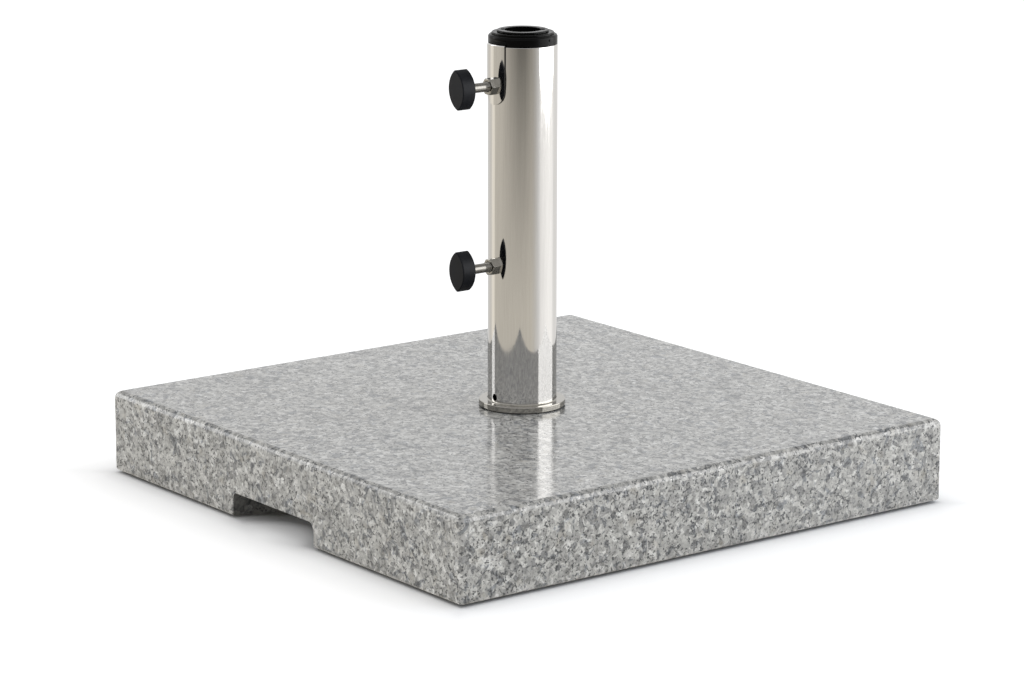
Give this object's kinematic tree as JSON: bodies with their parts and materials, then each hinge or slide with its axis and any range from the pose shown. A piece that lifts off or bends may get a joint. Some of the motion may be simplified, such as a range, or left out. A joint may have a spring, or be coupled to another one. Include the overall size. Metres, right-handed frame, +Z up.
{
  "type": "parasol base",
  "caption": "Square polished granite parasol base with a bolted stainless stand tube, hand clamp screws with oval knobs and nested plastic pole reducers.",
  "frame": {"origin": "on the floor, under the middle of the slab and on the tube's axis", "axes": "+Z up along the tube; -Y is the side with the clamp screws and the first grip notch; +X is to the right of it"},
  "size_m": [0.5, 0.5, 0.3921],
  "materials": {
    "granite": "polished grey granite, salt-and-pepper grain",
    "polished_steel": "mirror-polished stainless steel",
    "plain_steel": "satin stainless steel",
    "zinc_steel": "zinc-plated steel, dull",
    "knob_plastic": "fine-textured black moulding",
    "ring_plastic": "semi-gloss black moulding",
    "nylon": "plain black nylon",
    "black_rubber": "matt black rubber"
  },
  "bodies": {
    "base": {"granite_slab": "granite", "foot_pad_1": "black_rubber", "foot_pad_2": "black_rubber", "foot_pad_3": "black_rubber", "foot_pad_4": "black_rubber", "flange_gasket": "black_rubber", "base_flange": "polished_steel", "anchor_nut": "plain_steel", "centre_bolt": "zinc_steel", "spring_washer": "zinc_steel", "centre_washer": "zinc_steel", "stand_tube": "polished_steel", "rim_saddle": "polished_steel", "upper_weld_nut": "plain_steel", "lower_weld_nut": "plain_steel"},
    "upper_pressure_tip": {"upper_screw_tip": "nylon"},
    "upper_screw": {"upper_screw_rod": "plain_steel", "upper_knob": "knob_plastic"},
    "lower_pressure_tip": {"lower_screw_tip": "nylon"},
    "lower_screw": {"lower_screw_rod": "plain_steel", "lower_knob": "knob_plastic"},
    "collar": {"reducer_collar": "ring_plastic"},
    "middle_ring": {"reducer_middle_ring": "ring_plastic"},
    "inner_ring": {"reducer_inner_ring": "ring_plastic"}
  },
  "joints": [
    {"name": "upper_screw_travel", "type": "slide", "parent": "base", "child": "upper_pressure_tip", "axis": [0, 1, 0], "range_m": [-0.005, 0.0175]},
    {"name": "upper_knob_turn", "type": "hinge", "parent": "upper_pressure_tip", "child": "upper_screw", "pos_m": [0, -0.0625, 0.3475], "axis": [0, 1, 0], "range_deg": [-1441, 5041]},
    {"name": "lower_screw_travel", "type": "slide", "parent": "base", "child": "lower_pressure_tip", "axis": [0, 1, 0], "range_m": [-0.005, 0.0175]},
    {"name": "lower_knob_turn", "type": "hinge", "parent": "lower_pressure_tip", "child": "lower_screw", "pos_m": [0, -0.0625, 0.1955], "axis": [0, 1, 0], "range_deg": [-1441, 5041]},
    {"name": "collar_lift", "type": "slide", "parent": "base", "child": "collar", "axis": [0, 0, 1], "range_m": [0, 0.05]},
    {"name": "middle_ring_lift", "type": "slide", "parent": "collar", "child": "middle_ring", "axis": [0, 0, 1], "range_m": [0, 0.05]},
    {"name": "inner_ring_lift", "type": "slide", "parent": "middle_ring", "child": "inner_ring", "axis": [0, 0, 1], "range_m": [0, 0.05]}
  ],
  "couplings": [
    {"joint": "upper_knob_turn", "follows": "upper_screw_travel", "rad_per_m": 5026.5},
    {"joint": "lower_knob_turn", "follows": "lower_screw_travel", "rad_per_m": 5026.5}
  ]
}
